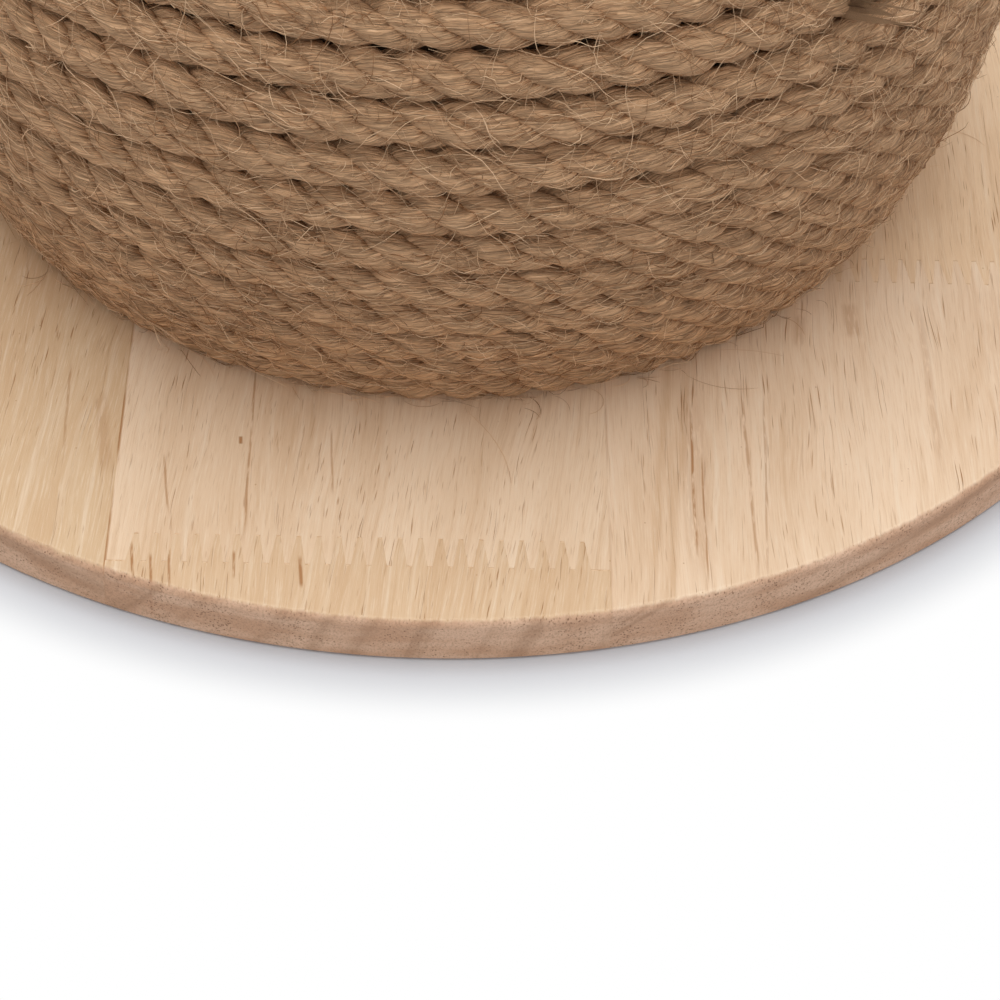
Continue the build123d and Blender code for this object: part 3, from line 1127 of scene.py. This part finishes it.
    def _tuft(self, rng: np.random.Generator) -> np.ndarray:
        """Returns the frayed rope end that is tucked into the hole at the top of the ball."""
        count, points = self.tuft_count, 6
        share = np.linspace(0, 1, points)[None, :]
        length = rng.uniform(5, 14, (count, 1)) * MM
        swing = rng.uniform(0, 2 * math.pi, (count, 1))
        reach = 7.0 * MM * np.sqrt(rng.random((count, 1)))
        start = swing + math.pi + rng.normal(0, 0.5, (count, 1))
        heading = start + rng.normal(0, 1.6, (count, 1)) * share
        east = reach * np.cos(swing) + np.cumsum(np.cos(heading), axis=1) * length / points
        north = reach * np.sin(swing) + np.cumsum(np.sin(heading), axis=1) * length / points
        out = np.hypot(east, north)
        held = np.minimum(out, self.tuft_radius) / np.maximum(out, 0.01 * MM)
        depth = rng.uniform(-1.0, 3.4, (count, 1)) + np.sin(math.pi * share) * rng.uniform(0, 0.8, (count, 1))
        height = self.rope.route.centre_height + self.rope.route.sphere_radius + depth * MM
        # The hole that the last turn leaves is off the pole, towards the place where that turn began.
        hole = self.hole_offset * np.array([math.cos(self.hole_bearing), math.sin(self.hole_bearing)])
        return np.stack(
            [hole[0] + east * held, hole[1] + north * held, height - (out * held) ** 2 / (45 * MM)], axis=-1
        )

    def _on_wood(self, rng: np.random.Generator) -> np.ndarray:
        """Returns fine fibres that lie on the wood round the ball's foot."""
        count, points = self.wood_count, 9
        route = self.rope.route
        share = np.linspace(0, 1, points)[None, :]
        length = rng.gamma(1.6, 2.6, (count, 1)) * MM + 2 * MM
        bearing = rng.uniform(0, 2 * math.pi, (count, 1))
        heading = math.pi / 2 + rng.normal(0, 0.5, (count, 1)) * rng.choice([-1, 1], (count, 1))
        heading = heading + rng.normal(0, 1.6, (count, 1)) * share
        step = length / (points - 1)
        out = np.cumsum(np.cos(heading) * step, axis=1)
        side = np.cumsum(np.sin(heading) * step, axis=1)
        foot = route.ball_seat_diameter / 2 + rng.exponential(0.8, (count, 1)) * MM
        radius = np.maximum(foot + out, route.ball_seat_diameter / 2 - 2 * MM)
        swing = bearing + side / foot
        height = route.board_thickness + (0.10 + 0.25 * rng.random((count, 1)) * np.sin(math.pi * share)) * MM
        return np.stack([np.cos(swing) * radius, np.sin(swing) * radius, height + 0 * swing], axis=-1)


@dataclass
class Studio:
    """The white table, darker in a ring round the board with painted shade, the soft lamps and the camera.

    The camera's place is given in board radii, as it was fitted to the round board.
    """

    board_radius: float = 160.0 * MM
    distance: float = 4.410
    elevation: float = math.radians(38.18)
    swing: float = math.radians(1.72)
    pitch: float = math.radians(44.93)
    roll: float = math.radians(-2.41)
    lens: float = 114.3
    world_strength: float = 0.605
    lamp_power: float = 13.4
    fill_power: float = 2.0
    # The radii, in millimetres, over which the table's painted shade round the board gives way to white.
    white_from: float = 160.5
    white_at: float = 176.0

    def build(self) -> None:
        """Builds the floor, the lamps, the world and the camera."""
        self._floor()
        self._lamp("overhead_lamp", Vector((-0.05, 0.10, 1.30)), 1.6, self.lamp_power)
        self._lamp("front_lamp", Vector((0.35, -1.3, 0.75)), 1.2, self.fill_power)
        self._world()
        self._camera()
        bpy.context.scene.view_settings.view_transform = "Standard"

    def _floor(self) -> None:
        """Builds the table that the board stands on: white, with painted shade in a ring round the board."""
        made = bmesh.new()
        bmesh.ops.create_grid(made, x_segments=1, y_segments=1, size=6.0)
        mesh = bpy.data.meshes.new("table")
        made.to_mesh(mesh)
        made.free()
        floor = bpy.data.objects.new("table", mesh)
        bpy.context.scene.collection.objects.link(floor)
        shader = Shader("white_table")
        x, y, _ = shader.place()
        # Seen from the camera, the table shows the darker bluish grey near the board, which is painted shade, and
        # white further out; every other ray meets the grey.
        away = shader.step(shader.math("SQRT", x * x + y * y), self.white_from, self.white_at)
        diffuse = shader.node("ShaderNodeBsdfDiffuse", inputs={"Color": rgb(0.62, 0.635, 0.665)})
        white = shader.node("ShaderNodeEmission", inputs={"Color": rgb(1.0, 1.0, 1.0), "Strength": 1.0})
        shader.end(shader.seen() * away, diffuse, white, "ShaderNodeOutputMaterial")
        mesh.materials.append(shader.material)

    def _lamp(self, name: str, place: Vector, size: float, power: float) -> None:
        """Hangs one square soft lamp that faces the ball.

        Args:
            name: The lamp's name.
            place: Where it hangs.
            size: The length of its side.
            power: Its power in watts.
        """
        light = bpy.data.lights.new(name, "AREA")
        light.size = size
        light.energy = power
        lamp = bpy.data.objects.new(name, light)
        lamp.location = place
        lamp.rotation_euler = (Vector((0, 0, 0.06)) - place).to_track_quat("-Z", "Y").to_euler()
        bpy.context.scene.collection.objects.link(lamp)

    def _world(self) -> None:
        """Lights the scene evenly, and shows white where a ray meets nothing."""
        shader = Shader("studio", world=True)
        glow = shader.node(
            "ShaderNodeBackground", inputs={"Color": rgb(0.97, 0.98, 1.0), "Strength": self.world_strength}
        )
        white = shader.node("ShaderNodeBackground", inputs={"Color": rgb(1.0, 1.0, 1.0), "Strength": 1.0})
        shader.end(shader.seen(), glow, white, "ShaderNodeOutputWorld")
        bpy.context.scene.world = shader.material

    def _camera(self) -> None:
        """Puts the camera where the photograph was taken from."""
        place = Vector((0.0, -self.distance * math.cos(self.elevation), self.distance * math.sin(self.elevation)))
        ahead = Vector((
            math.sin(self.swing) * math.cos(self.pitch),
            math.cos(self.swing) * math.cos(self.pitch),
            -math.sin(self.pitch),
        ))
        level = Vector((math.cos(self.swing), -math.sin(self.swing), 0.0))
        down = ahead.cross(level)
        right = level * math.cos(self.roll) + down * math.sin(self.roll)
        below = down * math.cos(self.roll) - level * math.sin(self.roll)
        turned = Matrix((right, -below, -ahead)).transposed().to_4x4()
        camera = bpy.data.objects.new("camera", bpy.data.cameras.new("camera"))
        camera.data.sensor_width = 36.0
        camera.data.lens = self.lens
        camera.data.clip_start = 0.01
        camera.matrix_world = Matrix.Translation(place * self.board_radius) @ turned
        bpy.context.scene.collection.objects.link(camera)
        bpy.context.scene.camera = camera


def main() -> None:
    """Builds and dresses the whole object and its studio."""
    logging.basicConfig(level=logging.INFO, format="%(message)s")
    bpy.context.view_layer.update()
    Board().build()
    Core().dress()
    RopeWinding().build()
    Studio().build()


if __name__ == "__main__":
    main()
